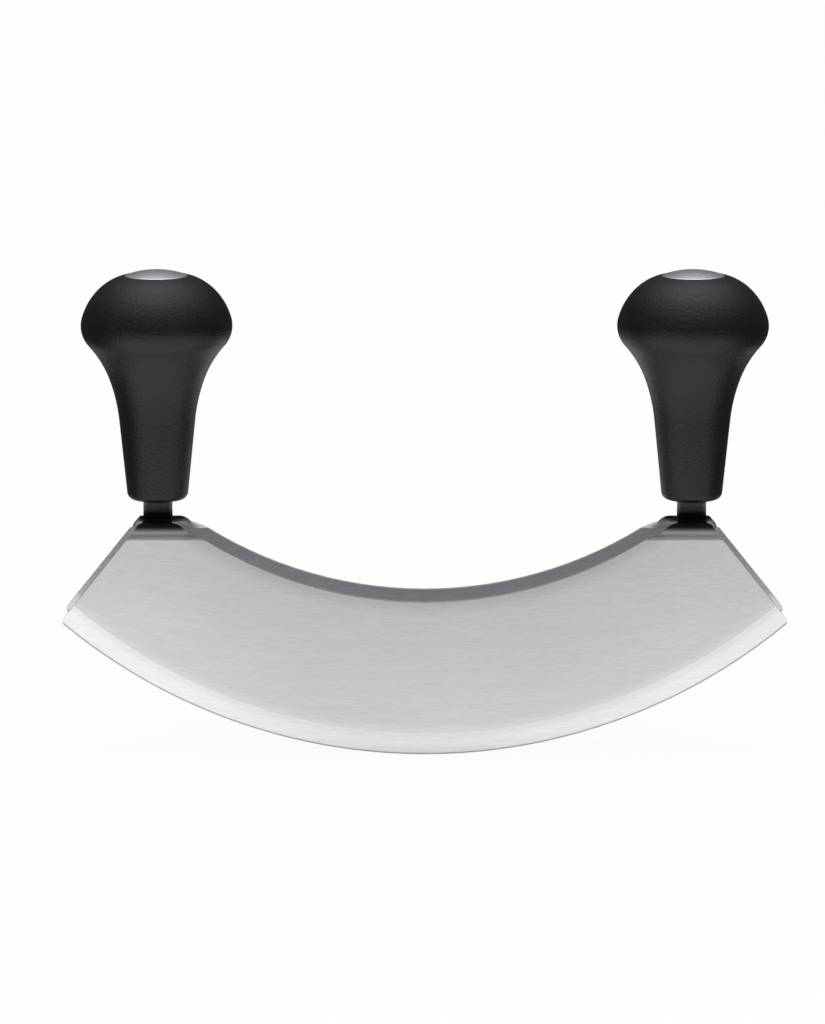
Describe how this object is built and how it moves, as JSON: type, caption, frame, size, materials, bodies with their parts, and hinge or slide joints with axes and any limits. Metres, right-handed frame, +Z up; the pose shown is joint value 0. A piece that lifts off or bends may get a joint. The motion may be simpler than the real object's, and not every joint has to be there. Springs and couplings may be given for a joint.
{
  "type": "double-bladed mezzaluna",
  "caption": "Rocking kitchen chopper: paired curved steel blades with necks bent inwards to tangs under knob grips, each grip closed by a domed steel cap.",
  "frame": {"origin": "midway between the two blades, at the lowest point of their cutting edges", "axes": "+X along the blades to the right, +Y from the front blade to the rear blade, +Z up along the grips"},
  "size_m": [0.2008, 0.042, 0.1344],
  "materials": {
    "blade_steel": "ground along the blade, satin, with a brighter ground bevel",
    "grip_plastic": "matte black with a very fine moulded grain",
    "washer_steel": "plain stamped",
    "cap_steel": "satin"
  },
  "bodies": {
    "root": {"front_blade": "blade_steel", "rear_blade": "blade_steel", "left_grip": "grip_plastic", "right_grip": "grip_plastic", "left_washer": "washer_steel", "right_washer": "washer_steel", "left_cap": "cap_steel", "right_cap": "cap_steel"}
  },
  "joints": []
}
